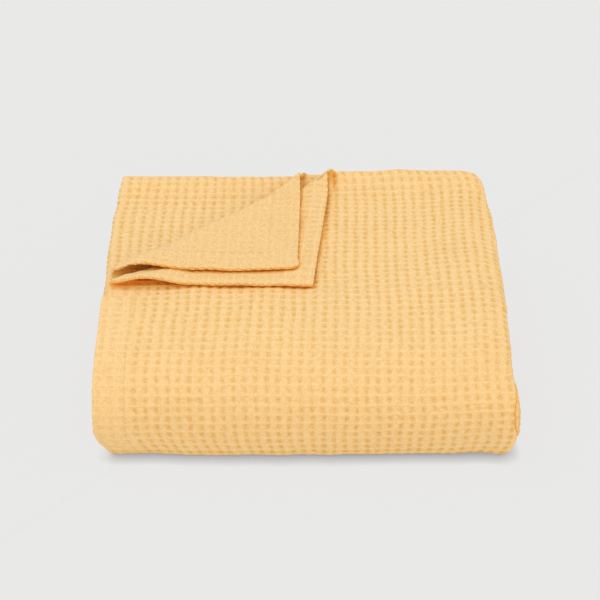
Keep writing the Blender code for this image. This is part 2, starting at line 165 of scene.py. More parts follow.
def run_point(row, t, ply):
    """Depth from the back and height, at a share of a run."""
    if row.get("backwards"):
        t = 1.0 - t
    layer = row["lap"][0] + row["lap"][1] * ply
    if row["way"] == "front":
        return front_point(np.interp(t * FRONT_RUN[-1], FRONT_RUN, arc_tilt), layer)
    if row["way"] == "fold":
        radius = np.abs(layer - row["round"]) * PITCH
        level = MIDDLE_LEVEL + row["side"] * (LAYERS - 0.5 - row["round"]) * PITCH
        return (FOLD_LINE - radius * np.sin(math.pi * t),
                level + row["side"] * radius * np.cos(math.pi * t))
    if row["way"] == "high":
        start, level = front_point(np.zeros_like(ply), layer)
        return row["back"] + (start - row["back"]) * t, level
    end, level = front_point(np.full_like(ply, math.pi), layer)
    return end + (row["back"] - end) * t, level


def run_length(row, samples=400):
    """Length of cloth in a run, on the ply that its row names."""
    t = np.linspace(0.0, 1.0, samples)
    depth, level = run_point(row, t, np.full_like(t, row["ply"]))
    return float(np.sum(np.hypot(np.diff(depth), np.diff(level))))


along_lengths = [run_length(row) for row in ALONG]
along_starts = np.cumsum([0.0] + along_lengths)
CUT_LENGTH = float(along_starts[-1])
run_number = {row["name"]: number for number, row in enumerate(ALONG)}


def run_place(name, share):
    """Distance along the cut length, at a share of a named run."""
    number = run_number[name]
    return along_starts[number] + along_lengths[number] * share


def along_pack(v, ply):
    """Depth from the back and height, at a distance along the cut length."""
    index = np.clip(np.searchsorted(along_starts, v, side="right") - 1, 0, len(ALONG) - 1)
    depth, level = np.zeros_like(v), np.zeros_like(v)
    for number, row in enumerate(ALONG):
        here = index == number
        t = (v[here] - along_starts[number]) / along_lengths[number]
        depth[here], level[here] = run_point(row, t, ply[here])
    return depth, level


# How far each side stands out past the pack's width, at shares of the runs
SIDES = (
    # run, share of it, left, right
    ("top", 0.0, 0.000, -0.0045),
    ("top", 0.06, 0.001, -0.0005),
    ("top", 0.3, 0.004, 0.004),
    ("top", 0.5, 0.004, 0.004),
    ("top", 0.9, 0.001, 0.003),
    ("front", 0.3, 0.000, 0.0015),
    ("front", 0.55, 0.001, 0.001),
    ("front", 0.66, 0.001, 0.005),
    ("front", 0.74, 0.001, 0.008),
    ("front", 0.82, 0.001, 0.008),
    ("front", 0.88, -0.002, 0.007),
    ("front", 0.94, -0.008, 0.004),
    ("front", 1.0, -0.014, -0.001),
    ("floor", 0.15, -0.010, -0.001),
    ("floor", 0.5, -0.004, -0.004),
    ("floor", 1.0, -0.001, -0.002),
    ("second low", 0.4, -0.002, 0.002),
    ("second low", 0.9, -0.001, 0.005),
    ("second front", 0.2, 0.000, 0.005),
    ("second front", 0.7, 0.001, 0.002),
    ("second high", 0.2, -0.001, 0.001),
    ("second high", 1.0, -0.002, -0.003),
    ("third high", 0.5, -0.003, -0.001),
    ("third front", 0.5, -0.001, 0.003),
    ("third low", 1.0, -0.003, -0.002),
)
side_places = [run_place(name, share) for name, share, _, _ in SIDES]

# The two turned-back corners. Each has a crease from the left edge ("left", measured from
# the back) to the back edge ("back", measured from the left), and its tip comes to lie at
# "tip". The crease may sag to the front, and the left hem, which now faces the front, may
# bow. That hem lifts off a little near the crease's left end, and the back hem is drawn in
# and stands up slightly beside the crease's back end.
CORNERS = {
    "lower flap": {
        "left": 0.1835, "back": 0.212, "tip": (0.0085, 0.180), "pull": 0.004,
        "radius_left": 0.0022, "radius_back": 0.0034, "bow": -0.0088,
        "inset": 0.005, "sag": 0.0085,
        "lift": 0.0066, "lift_over": 0.034, "lift_from": 0.036, "lift_to": 0.075,
        "draw_near": 0.0046, "draw_far": -0.0005, "stand_up": 0.0010,
    },
    "upper flap": {
        "left": 0.1680, "back": 0.182, "tip": (-0.0012, 0.1620), "pull": 0.002,
        "radius_left": 0.0042, "radius_back": 0.0018, "bow": 0.0012,
        "inset": 0.005, "sag": 0.0000,
        "lift": 0.0042, "lift_over": 0.045, "lift_from": 0.040, "lift_to": 0.072,
        "draw_near": 0.0054, "draw_far": 0.0034, "stand_up": 0.0006,
    },
}
INSET_ALONG_FLAP = 0.012
INSET_ALONG_PLY = 0.040
INSET_WIDTH = 0.060
SAG_AT = 0.17
SAG_ENDS = 0.50
SAG_TAKEN_UP_OVER = 0.030
LIFT_WIDTH = 0.045
DRAW_WIDTH = 0.035
DRAW_STARTS = 0.05
DRAW_ENDS = 0.10
DRAW_PAST_CREASE = 0.004
PULL_SPREAD = 0.060
BOW_WIDTH = 0.090
BOW_EASE = 0.020
CLIMB_LEFT = 0.009
CLIMB_BACK = 0.011
FLAP_GAP = 0.0040
FLAP_SETTLES_OVER = 0.050
corners_end = run_place("front", 0.1)


def fold_radius(corner, share):
    """Radius of a corner's soft crease, from its left end to its back end."""
    return corner["radius_left"] + (corner["radius_back"] - corner["radius_left"]) * share


def flap_rest(name, share, beyond):
    """How high a flap lies over its own ply, and how soon it gets there."""
    if name == "lower flap":
        return FLAP_GAP, FLAP_SETTLES_OVER
    under, own = CORNERS["lower flap"], CORNERS["upper flap"]
    slope = math.atan2(own["left"], own["back"])
    at_left = (under["left"] - own["left"]) * math.cos(slope)
    at_back = (under["back"] - own["back"]) * math.sin(slope)
    past = beyond - (at_left + (at_back - at_left) * share)
    over_crease = 1.0 - smooth(past / FLAP_SETTLES_OVER)
    lift = (2 * fold_radius(under, share) - FLAP_GAP) * over_crease
    return PITCH + 2 * FLAP_GAP + lift, CLIMB_LEFT + (CLIMB_BACK - CLIMB_LEFT) * share


def turn_back(x, depth, level, name):
    """Turn what lies beyond a corner's crease over, on to the cloth under the flap."""
    corner = CORNERS[name]

    # Near the crease's ends the left edge is inset and the back edge is pulled forward
    past = depth - corner["left"]
    fade = np.where(past < 0, INSET_ALONG_FLAP, INSET_ALONG_PLY)
    inset = corner["inset"] * np.exp(-(past / fade) ** 2)
    x = x + inset * (1.0 - smooth((x - LEFT) / INSET_WIDTH))
    start = np.array([LEFT, corner["left"]])
    end = np.array([LEFT + corner["back"], corner["pull"]])
    length = np.linalg.norm(end - start)
    direction = (end - start) / length
    outward = np.array([direction[1], -direction[0]])
    beside = 1.0 - smooth(np.abs(x - end[0]) / PULL_SPREAD)
    depth = depth + corner["pull"] * beside * (1.0 - smooth(depth / PULL_SPREAD))

    # How far a point lies beyond the sagging crease, and how far along it
    reach = (x - start[0]) * outward[0] + (depth - start[1]) * outward[1]
    travel = (x - start[0]) * direction[0] + (depth - start[1]) * direction[1]
    share = np.clip(travel / length, 0.0, 1.0)
    radius = fold_radius(corner, share)
    sag = corner["sag"] * smooth(share / SAG_AT) * (
        1.0 - smooth((share - SAG_AT) / (SAG_ENDS - SAG_AT)))
    reach = reach + sag

    # The cloth goes round the crease, and then straight on towards the tip's place
    loose = np.array([LEFT, 0.0]) - start
    loose_travel = loose @ direction
    fold = np.array(corner["tip"]) - (start + loose_travel * direction)
    fold /= loose @ outward - math.pi * fold_radius(corner, loose_travel / length)
    angle = np.clip(reach / radius, 0.0, math.pi)
    beyond = np.clip(reach - math.pi * radius, 0.0, None)
    beyond = beyond - sag * smooth(beyond / SAG_TAKEN_UP_OVER)
    new_x = start[0] + travel * direction[0]
    new_x += (radius * np.sin(angle) - sag) * outward[0] + beyond * fold[0]
    new_depth = start[1] + travel * direction[1]
    new_depth += (radius * np.sin(angle) - sag) * outward[1] + beyond * fold[1]
    rest, climb = flap_rest(name, share, beyond)
    new_level = level + radius * (1.0 - np.cos(angle))
    new_level += np.where(beyond > 0, (rest - 2 * radius) * smooth(beyond / climb), 0.0)

    # The hem that now faces the front bows, and lifts off near the crease
    along_edge = np.clip(1.0 - depth / corner["left"], 0.0, 1.0)
    near_edge = 1.0 - smooth((x - LEFT) / BOW_WIDTH)
    bow = corner["bow"] * np.sin(math.pi * along_edge) * near_edge
    new_depth += bow * smooth(beyond / BOW_EASE)
    on_edge = corner["left"] - depth
    lift = smooth(on_edge / corner["lift_over"]) * (1.0 - smooth(
        (on_edge - corner["lift_from"]) / (corner["lift_to"] - corner["lift_from"])))
    new_level += corner["lift"] * lift * (1.0 - smooth((x - LEFT) / LIFT_WIDTH))

    # The back hem, which now faces the right, is drawn in and stands up
    on_hem = 1.0 - (x - LEFT) / corner["back"]
    draw = smooth(on_hem / DRAW_STARTS) * smooth((1.0 - on_hem) / DRAW_ENDS)
    draw *= (1.0 - smooth(depth / DRAW_WIDTH)) * smooth(beyond / DRAW_PAST_CREASE)
    drawn = corner["draw_near"] + (corner["draw_far"] - corner["draw_near"]) * on_hem
    new_x -= drawn * draw
    new_level += corner["stand_up"] * draw

    turned = reach > 0
    return (np.where(turned, new_x, x), np.where(turned, new_depth, depth),
            np.where(turned, new_level, level))


# How the pack lies: its back stands up on the hems, and its top has slow swells
HEM_RISE_LEFT = 0.0100
HEM_RISE_RIGHT = 0.0070
HEM_RISE_DEPTH = 0.040
SIDE_DROOP = 0.0040
SIDE_DROOP_WIDTH = 0.030
SWELL = 0.0008
SWELL_ACROSS = 0.31
SWELL_BACK = 0.24
SWELL_STARTS = (0.7, 0.4)


def lie(x, depth, level):
    """Raise the back on its hems and let the top swell; the floor stays flat."""
    rise = HEM_RISE_LEFT + (HEM_RISE_RIGHT - HEM_RISE_LEFT) * smooth((x - LEFT) / PACK_WIDTH)
    above = np.clip((level - MIDDLE_LEVEL) / (PACK_HEIGHT - MIDDLE_LEVEL), 0.0, None)
    raised = level + rise * (1.0 - smooth(depth / HEM_RISE_DEPTH)) * above
    raised -= SIDE_DROOP * smooth((x - RIGHT) / SIDE_DROOP_WIDTH + 1.0) ** 2 * above
    across_wave = np.sin(2 * math.pi * x / SWELL_ACROSS + SWELL_STARTS[0])
    back_wave = np.sin(2 * math.pi * depth / SWELL_BACK + SWELL_STARTS[1])
    return raised + SWELL * across_wave * back_wave * above


# The front's foot is tucked in a little, more so at both ends
TUCK_AT = (-0.175, -0.135, -0.080, 0.030, 0.090, 0.150, 0.180)
TUCK = (0.0052, 0.0034, 0.0016, 0.0016, 0.0030, 0.0034, 0.0022)
TUCK_DEPTH = 0.250
TUCK_EASE = 0.04
TUCK_LEVEL = 0.045


def tucked(x, depth, level):
    """Draw the foot of the front in."""
    foot = smooth((depth - TUCK_DEPTH) / TUCK_EASE) * (1.0 - smooth(level / TUCK_LEVEL))
    return depth - np.interp(x, TUCK_AT, TUCK) * foot


def hem_share(u, v):
    """1 on a hem and 0 on the single cloth beside it."""
    edge = np.minimum(np.minimum(u, CUT_WIDTH - u), np.minimum(v, CUT_LENGTH - v))
    return np.clip((HEM_WIDTH + HEM_STEP - edge) / HEM_STEP, 0.0, 1.0)


# The hems' corners are rounded, the outer ply is pinched beside its crease, and the thicker
# hems on the floor are raised so that they lie on it too
CORNER_ROUNDS = ((0.0, 0.003), (CUT_WIDTH, 0.010))
OUTER_PLY_UNDER = 0.5
floor_starts, floor_ends = run_place("front", 0.9), run_place("floor", 1.0)
PINCHES = (
    # middle along the cut width and length, half sizes, height
    (0.2070, 0.005, 0.0026, 0.007, -0.0010),
    (0.2050, 0.016, 0.0024, 0.009, -0.0026),
    (0.2140, 0.009, 0.0035, 0.010, 0.0010),
)


def rounded_corners(u, v):
    """Draw the panel's two loose top corners round."""
    for edge, radius in CORNER_ROUNDS:
        inward = 1.0 if edge == 0.0 else -1.0
        du = np.clip(1.0 - (u - edge) * inward / radius, 0.0, 1.0)
        dv = np.clip(1.0 - v / radius, 0.0, 1.0)
        u = u + inward * radius * (du - du * np.sqrt(1.0 - dv ** 2 / 2))
        v = v + radius * (dv - dv * np.sqrt(1.0 - du ** 2 / 2))
    return u, v


def folded(u, v):
    """Where a point of the cut panel comes to lie in the pack."""
    u, v = rounded_corners(u, v)
    pinch = np.zeros_like(u)
    for middle_u, middle_v, half_u, half_v, height in PINCHES:
        away = ((u - middle_u) / half_u) ** 2 + ((v - middle_v) / half_v) ** 2
        pinch += height * np.exp(-away)
    x, ply = across_pack(u)
    depth, level = along_pack(v, ply)
    level = level + pinch
    on_floor = (v > floor_starts) & (v < floor_ends) & (ply < OUTER_PLY_UNDER)
    level = level + np.where(on_floor, hem_share(u, v) * (HEM - CLOTH) / 2, 0.0)
    left = np.interp(v, side_places, [row[2] for row in SIDES])
    right = np.interp(v, side_places, [row[3] for row in SIDES])
    half = PACK_WIDTH / 2
    x = x - left * (half - x) / PACK_WIDTH + right * (half + x) / PACK_WIDTH
    on_top = v < corners_end
    on_outer, on_second = u < across_starts[1], u > across_starts[-2]
    for name, on_ply in (("lower flap", on_outer), ("upper flap", on_second)):
        here = on_top & on_ply
        x[here], depth[here], level[here] = turn_back(x[here], depth[here], level[here], name)
    level_in_pack = lie(x, depth, level)
    depth = tucked(x, depth, level)
    return np.column_stack([x - OUTLINE_MIDDLE, PACK_DEPTH / 2 - depth, level_in_pack])


# The waffle weave. Broad raised columns of yarn floats stand between narrow grooves, and a
# thin raised line of yarn crosses each groove at every row, so each cell has one small pit.
CELL_ACROSS = 0.00910
CELL_ALONG = 0.00745
CREST = 0.00125
PIT_DEPTH = 0.00105
HEM_CREST = 0.00150
HEM_PIT_DEPTH = 0.00075
GROOVE_CORE = 0.32
CORE_SHARE = 0.55
ROW_WIDTH = 0.40
CROSSING_SINK = 0.12
ROW_RIDGE = 0.00022
ROW_RIDGE_WIDTH = 0.13
# The painted pit shade given to faces with flatter relief
AVERAGE_PIT_SHADE = 0.30
EDGE_ROUND = 0.0014
SCALLOP_ALONG = 0.0010
SCALLOP_ACROSS = 0.0005
SCALLOP_DEPTH = 0.004

# How far the columns and rows have crept out of line in handling, in cells
CREEP_ACROSS_AT = (0.030, 0.120, 0.210, 0.270, 0.330, 0.700)
CREEP = (
    # along the cut, creep of the columns at each place across, creep of the rows there
    (0.015, (1.10, 1.15, 1.26, 1.24, 1.24, 0.0), (1.40, 1.30, 1.20, 1.02, 0.30, 0.0)),
    (0.060, (1.00, 1.05, 1.13, 0.94, 0.76, 0.0), (1.20, 1.05, 0.92, 0.90, -0.25, 0.0)),
    (0.105, (0.85, 0.90, 0.98, 0.75, 0.55, 0.0), (0.95, 0.65, 0.44, 0.40, -0.80, 0.0)),
    (0.150, (0.75, 0.75, 0.77, 0.67, 0.62, 0.0), (0.90, 0.50, 0.29, -0.02, -0.84, 0.0)),
    (0.195, (0.74, 0.74, 0.81, 0.79, 0.71, 0.0), (0.81, 0.32, 0.33, 0.22, -0.34, 0.0)),
    (0.240, (0.50, 0.53, 0.71, 0.75, 0.64, 0.0), (0.37, 0.11, 0.31, 0.34, 0.01, 0.0)),
    (0.270, (0.32, 0.40, 0.59, 0.59, 0.55, 0.0), (0.25, 0.18, 0.39, 0.42, -0.01, 0.0)),
    (0.300, (0.37, 0.25, 0.27, 0.16, 0.21, 0.0), (0.76, 0.70, 0.75, 0.68, 0.28, 0.0)),
    (0.330, (0.44, 0.20, 0.07, -0.03, 0.0, 0.0), (0.91, 0.69, 0.64, 0.55, 0.09, 0.0)),
    (0.700, (0.0, 0.0, 0.0, 0.0, 0.0, 0.0), (0.0, 0.0, 0.0, 0.0, 0.0, 0.0)),
)
CREEP_FADE = 0.030

# Small uneven waves: puckers of the surface, and wobbles of the columns and of the rows.
# Each cell's pit also has a depth of its own.
WAVES_OF_A_KIND = 16
WAVE_LENGTHS = (0.020, 0.080)
WAVE_LAST_START = 7.0
PUCKER = 0.00011
WOBBLE = 0.010
CELL_SPREAD = 0.16
CELL_TABLE = 400
rng = np.random.default_rng(7)
WAVES = [
    {"turn": rng.uniform(0, 2 * math.pi), "start": rng.uniform(0, WAVE_LAST_START),
     "length": rng.uniform(*WAVE_LENGTHS), "kind": kind}
    for kind in ("pucker", "columns", "rows") for _ in range(WAVES_OF_A_KIND)]
cell_depths = 1.0 + CELL_SPREAD * rng.uniform(-1.0, 1.0, (CELL_TABLE, CELL_TABLE))


def waves(u, v, kind):
    """A slow uneven sum of one kind's waves over the cloth, seldom past -6 or 6."""
    total = np.zeros_like(u)
    for wave in WAVES:
        if wave["kind"] == kind:
            travel = u * math.cos(wave["turn"]) + v * math.sin(wave["turn"])
            total += np.sin(2 * math.pi * travel / wave["length"] + wave["start"])
    return total


def creep(u, v):
    """How far the columns and the rows have crept from their even places, in cells."""
    found = []
    stations = np.array([row[0] for row in CREEP])
    each = np.arange(len(u))
    place = np.clip(np.searchsorted(stations, v) - 1, 0, len(CREEP) - 2)
    t = smooth((v - stations[place]) / (stations[place + 1] - stations[place]))
    for part, kind in ((1, "columns"), (2, "rows")):
        lines = np.array([np.interp(u, CREEP_ACROSS_AT, row[part]) for row in CREEP])
        even = lines[place, each] * (1 - t) + lines[place + 1, each] * t
        found.append(even + WOBBLE * waves(u, v, kind))
    return found[0] * smooth(u / CREEP_FADE), found[1] * smooth(v / CREEP_FADE)


def pit_share(a, b):
    """1 in the middle of a pit and 0 on the columns, at a count of cells each way."""
    from_groove = np.abs(a - np.floor(a) - 0.5)
    core = 0.5 + 0.5 * np.cos(math.pi * np.clip(from_groove / GROOVE_CORE, 0, 1))
    groove = CORE_SHARE * core + (1.0 - CORE_SHARE) * (1.0 - from_groove / 0.5)
    row = smooth((0.5 - np.abs(b - np.floor(b) - 0.5)) / ROW_WIDTH)
    cell = cell_depths[
        np.floor(a).astype(int) % CELL_TABLE, np.floor(b).astype(int) % CELL_TABLE]
    return groove * (CROSSING_SINK + (1.0 - CROSSING_SINK) * row) * cell


# The weave stands out most at the back edge, and is pulled flatter where the front rounds
# over, most of all on the left hem there
WEAVE_ALONG = (0.000, 0.040, 0.200, 0.240, 0.270, 0.300, 0.330, 0.380)
WEAVE_DEPTH = (1.35, 1.05, 1.00, 0.88, 0.74, 0.78, 1.02, 1.00)
LEFT_HEM_FLATTER = 0.55
LEFT_HEM_FROM = 0.17
LEFT_HEM_EASE = 0.04

# A crease where the front rolls round to the right side
CREASE_ALONG = (0.270, 0.285, 0.294, 0.303, 0.311, 0.320, 0.335, 0.350)
CREASE_AT = (0.3548, 0.3528, 0.3503, 0.3478, 0.3458, 0.3458, 0.3488, 0.3518)
CREASE_WIDTH = 0.0022
CREASE_DEPTH = 0.0032
CREASE_LIP = 0.0010
CREASE_LIP_WIDTH = 0.0012
CREASE_LIP_BEFORE = 0.0030
CREASE_FADE = 0.02


def weave_depth(u, v):
    """How deep the weave is, as a share of its full depth."""
    depth = np.interp(v, WEAVE_ALONG, WEAVE_DEPTH)
    on_left_hem = np.clip((HEM_WIDTH + HEM_STEP - u) / HEM_STEP, 0.0, 1.0)
    on_front = smooth((v - LEFT_HEM_FROM) / LEFT_HEM_EASE)
    return depth * (1.0 - LEFT_HEM_FLATTER * on_left_hem * on_front)


def crease(u, v):
    """How far the crease draws the cloth in."""
    after_start = smooth((v - CREASE_ALONG[0]) / CREASE_FADE)
    before_end = smooth((CREASE_ALONG[-1] - v) / CREASE_FADE)
    middle = np.interp(v, CREASE_ALONG, CREASE_AT)
    before = (u - middle + CREASE_LIP_BEFORE) / CREASE_LIP_WIDTH
    drawn_in = CREASE_DEPTH * np.exp(-((u - middle) / CREASE_WIDTH) ** 2)
    return after_start * before_end * (drawn_in - CREASE_LIP * np.exp(-before ** 2))


# Where a cell is divided, in shares of it: finely where the weave shows, less elsewhere
FINE_ACROSS = (0.0, 0.20, 0.35, 0.5, 0.65, 0.80)
FINE_ALONG = (0.0, 0.12, 0.27, 0.5, 0.73, 0.88)
PART_ACROSS = (0.0, 0.25, 0.5, 0.75)
PART_ALONG = (0.0, 0.25, 0.5, 0.75)
HALF = (0.0, 0.5)
ONCE = (0.0,)
CLOSE_ACROSS = tuple(number / 14 for number in range(14))
LINE_CLEARANCE = 0.0002
EDGE_LINES = (0.0003, 0.0008, 0.0015)


def throughout(shares, step=1):
    """A zone that takes in the whole of any piece."""
    return 0.0, 2.0, shares, step


def weave_lines(span, cell, zones, edges=()):
    """Places of a piece's division lines, with closer ones at a cut edge.

    A zone has its start and end, the shares at which its cells are divided, and a step:
    2 divides every other cell only. An edge has its place and the way inward from it.
    """
    start, end = span
    lines = {start, end}
    for low, high, shares, step in zones:
        low, high = max(low, start), min(high, end)
        for number in range(int(low // cell) // step * step, int(high // cell) + 1, step):
            lines.update(
                (number + share) * cell for share in shares
                if low + LINE_CLEARANCE < (number + share) * cell < high - LINE_CLEARANCE)
    for edge, inward in edges:
        lines.update(edge + inward * inset for inset in EDGE_LINES)
    return sorted(lines)


SLOPE_STEP = 0.0003
SLAB_THICKNESS = 0.1
EDGE_ROUND_LIMIT = 0.95
HEM_PIT_PALER = 0.25


def cloth_piece(name, u_lines, v_lines, face_relief=1.0, back_relief=0.5):
    """Lay out a stretch of the panel as a flat slab and fold it to its place."""
    bpy.ops.object.select_all(action="DESELECT")
    parts_across, parts_along = len(u_lines) - 1, len(v_lines) - 1
    bpy.ops.mesh.primitive_grid_add(
        x_subdivisions=parts_across, y_subdivisions=parts_along, size=1.0)
    piece = bpy.context.object
    piece.name = name
    piece.data.name = name
    thickness = piece.modifiers.new("thickness", "SOLIDIFY")
    thickness.thickness = SLAB_THICKNESS
    thickness.offset = 0.0
    bpy.ops.object.modifier_apply(modifier=thickness.name)

    # Each vertex's place on the cut panel, and its count of cells there; the back of the
    # cloth has its pits half a cell away from the face's
    mesh = piece.data
    spots = np.empty(len(mesh.vertices) * 3)
    mesh.vertices.foreach_get("co", spots)
    spots = spots.reshape(-1, 3)
    column = np.rint((spots[:, 0] + 0.5) * parts_across).astype(int)
    row = np.rint((spots[:, 1] + 0.5) * parts_along).astype(int)
    over = spots[:, 2] > 0
    even_u, even_v = np.array(u_lines)[column], np.array(v_lines)[row]
    columns, rows = creep(even_u, even_v)
    u, v = even_u + columns * CELL_ACROSS, even_v + rows * CELL_ALONG
    shift = np.where(over, 0.0, 0.5)
    a, b = even_u / CELL_ACROSS + shift, even_v / CELL_ALONG + shift

    # The hem's edge is drawn in a little in every cell
    for side, inward in ((0.0, 1), (CUT_WIDTH, -1)):
        near = np.exp(-np.abs(u - side) / SCALLOP_DEPTH)
        u += inward * SCALLOP_ALONG * near * np.sin(math.pi * (b - np.floor(b)))
    near = np.exp(-v / SCALLOP_DEPTH)
    v += SCALLOP_ACROSS * near * np.sin(math.pi * (a - np.floor(a)))

    # Folded to its place, with the weave's relief on both sides
    middle = folded(u.copy(), v.copy())
    du = folded(u + SLOPE_STEP, v.copy()) - folded(u - SLOPE_STEP, v.copy())
    dv = folded(u.copy(), v + SLOPE_STEP) - folded(u.copy(), v - SLOPE_STEP)
    normal = np.cross(dv, du)
    normal /= np.linalg.norm(normal, axis=1)[:, None]
    hem = hem_share(u, v)
    edge = np.minimum(np.minimum(u, CUT_WIDTH - u), np.minimum(v, CUT_LENGTH - v))
    rounding = np.sqrt(1.0 - np.clip(1.0 - edge / EDGE_ROUND, 0.0, EDGE_ROUND_LIMIT) ** 2)
    relief = np.where(over, face_relief, back_relief)
    pit = pit_share(a, b) * relief * weave_depth(u, v)
    height = CREST + (HEM_CREST - CREST) * hem
    height -= (PIT_DEPTH + (HEM_PIT_DEPTH - PIT_DEPTH) * hem) * pit
    from_row = np.abs(b - np.rint(b))
    height += ROW_RIDGE * relief * np.exp(-(from_row / ROW_RIDGE_WIDTH) ** 2)
    height -= crease(u, v)
    offset = np.where(over, 1.0, -1.0) * height * rounding + PUCKER * waves(u, v, "pucker")
    spots = middle + normal * offset[:, None]
    spots[:, 2] = np.maximum(spots[:, 2], 0.0)
    mesh.vertices.foreach_set("co", spots.ravel())

    # What the cloth's material needs: two maps, and how much painted pit shade each place
    # takes, from how deep in a pit it is
    corners = np.empty(len(mesh.loops), dtype=np.int32)
    mesh.loops.foreach_get("vertex_index", corners)
    while mesh.uv_layers:
        mesh.uv_layers.remove(mesh.uv_layers[0])
    weave = mesh.uv_layers.new(name="weave")
    weave.data.foreach_set("uv", np.column_stack([a[corners], b[corners]]).ravel())
    cut = mesh.uv_layers.new(name="cut")
    cut.data.foreach_set("uv", np.column_stack([u[corners], v[corners]]).ravel())
    # Painted shade for the pits, paler on the hems
    painted_pit_shade = pit * (1.0 - HEM_PIT_PALER * hem) + AVERAGE_PIT_SHADE * (1.0 - relief)
    shown = mesh.attributes.new("pit", "FLOAT", "POINT")
    shown.data.foreach_set("value", painted_pit_shade)

    # Faces outward, and flat ones on the cut rim
    bpy.ops.object.mode_set(mode="EDIT")
    bpy.ops.mesh.select_all(action="SELECT")
    bpy.ops.mesh.flip_normals()
    bpy.ops.object.mode_set(mode="OBJECT")
    bpy.ops.object.shade_smooth()
    for face in mesh.polygons[2 * parts_across * parts_along:]:
        face.use_smooth = False
    mesh.materials.clear()
    mesh.materials.append(cotton)
    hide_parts("blanket")
    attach(piece, "root")
    return piece


# Honey-yellow cotton: painted shade makes it deeper and richer in the pits and dark in the
# stitch holes, and the thin raised yarns carry a painted highlight
YARN_COLOUR = (0.932, 0.660, 0.327, 1.0)
PIT_SHADE_COLOUR = (0.785, 0.487, 0.165, 1.0)
LINE_HIGHLIGHT_COLOUR = (1.00, 0.76, 0.42, 1.0)
HOLE_SHADE_COLOUR = (0.25, 0.11, 0.03, 1.0)
PIT_SHADE_TINT = 0.90
SEAM_TINT = 0.25
LINE_HIGHLIGHT_TINT = 0.40
HOLE_SHADE_TINT = 0.22
TINT_LIMITS = (-0.2, 1.2)
NOISES = {
    # scale on the cut panel, detail, how much it shifts the colour
    "patches": (28.0, 3.0, 0.35),
    "specks": (700.0, 3.0, 2.2),
    "grain": (260.0, 1.0, 1.2),
}

# The thin raised yarns, which carry a painted highlight, in cells
ROW_LINE_WIDTH = 0.12
ROW_LINE_SHARE = 0.9
SIDE_LINE_AT = 0.80
SIDE_LINE_WIDTH = 0.08
GRAIN_ON_LINES = 1.7

# The hems' stitching: widths in metres, and a hole's length in stitches
STITCH_FROM_EDGE = 0.0265
STITCH_LENGTH = 0.0032
SEAM_HALF_WIDTH = 0.0011
HOLE_HALF_WIDTH = 0.0006
HOLE_HALF_LENGTH = 0.14

# The painted shade between layers, which darkens the base colour: it starts where less than
# this share of the surroundings is open, and takes more of the green and the blue than of the
# red
SHADE_REACH = 0.014
SHADE_SAMPLES = 16
SHADE_STARTS = 0.93
SHADE_STRENGTH = 0.78
SHADE_POWERS = (0.48, 2.0)
DEEP_STEEPNESS = 20.0
DEEP_LOSS = (0.75, 0.90)
FLOOR_SHADE_FROM = 0.002
FLOOR_SHADE_OVER = 0.010

# The yarns and fibres in the surface: counts in a cell, and heights in metres
YARNS_ACROSS = 5
YARNS_ALONG = 4
YARN_HEIGHT = 0.00004
SPECK_HEIGHT = 0.00040
GRAIN_HEIGHT = 0.00030
LINE_HEIGHT = 0.00020
SEAM_SINK = 0.00020

cotton = bpy.data.materials.new("waffle_cotton")
cotton.use_nodes = True
nodes, links = cotton.node_tree.nodes, cotton.node_tree.links
finish = nodes["Principled BSDF"]
finish.inputs["Roughness"].default_value = 0.9
finish.inputs["Sheen Weight"].default_value = 0.06
finish.inputs["Sheen Roughness"].default_value = 0.5
finish.inputs["Specular IOR Level"].default_value = 0.1


def math_node(operation, *values):
    """The output of a math node on sockets or numbers."""
    node = nodes.new("ShaderNodeMath")
    node.operation = operation
    for socket, value in zip(node.inputs, values):
        if isinstance(value, (int, float)):
            socket.default_value = value
        else:
            links.new(value, socket)
    return node.outputs[0]


def tinted(share, under, over):
    """A colour mixed between two colours or sockets by a share."""
    node = nodes.new("ShaderNodeMix")
    node.data_type = "RGBA"
    node.clamp_factor = False
    for socket, value in ((node.inputs["A"], under), (node.inputs["B"], over)):
        if isinstance(value, tuple):
            socket.default_value = value
        else:
            links.new(value, socket)
    links.new(share, node.inputs["Factor"])
    return node.outputs["Result"]


def cloth_map(map_name):
    """One of the cloth's two maps."""
    node = nodes.new("ShaderNodeUVMap")
    node.uv_map = map_name
    return node.outputs["UV"]


def three_parts(vector):
    """The three numbers of a vector."""
    node = nodes.new("ShaderNodeSeparateXYZ")
    links.new(vector, node.inputs[0])
    return node.outputs[0], node.outputs[1], node.outputs[2]


def mottle(vector, scale, detail):
    """Uneven noise between 0 and 1 on a map."""
    node = nodes.new("ShaderNodeTexNoise")
    node.inputs["Scale"].default_value = scale
    node.inputs["Detail"].default_value = detail
    links.new(vector, node.inputs["Vector"])
    return node.outputs["Fac"]


def narrow(value, middle, width):
    """1 where a value is at its middle and 0 from a width away."""
    away = math_node("ABSOLUTE", math_node("SUBTRACT", value, middle))
    share = math_node("MINIMUM", math_node("DIVIDE", away, width), 1.0)
    return math_node("SUBTRACT", 1.0, share)


def limited(value, low, high):
    """A value kept between two limits."""
    return math_node("MINIMUM", math_node("MAXIMUM", value, low), high)


weave_a, weave_b, _ = three_parts(cloth_map("weave"))
cut_map = cloth_map("cut")
cut_u, cut_v, _ = three_parts(cut_map)
pit_shade_node = nodes.new("ShaderNodeAttribute")
pit_shade_node.attribute_name = "pit"
noises = {
    name: mottle(cut_map, scale, detail) for name, (scale, detail, _) in NOISES.items()}

# The raised yarn at each row, and the thin raised yarn beside each groove, both uneven; both
# carry a painted highlight
from_row = math_node("FRACT", math_node("ADD", weave_b, 0.5))
from_row = math_node("ABSOLUTE", math_node("SUBTRACT", from_row, 0.5))
row_line = narrow(from_row, 0.0, ROW_LINE_WIDTH)
side_line = narrow(math_node("FRACT", weave_a), SIDE_LINE_AT, SIDE_LINE_WIDTH)
line = math_node("MAXIMUM", math_node("MULTIPLY", row_line, ROW_LINE_SHARE), side_line)
unbroken = math_node("MINIMUM", math_node("MULTIPLY", noises["grain"], GRAIN_ON_LINES), 1.0)
line = math_node("MULTIPLY", line, unbroken)

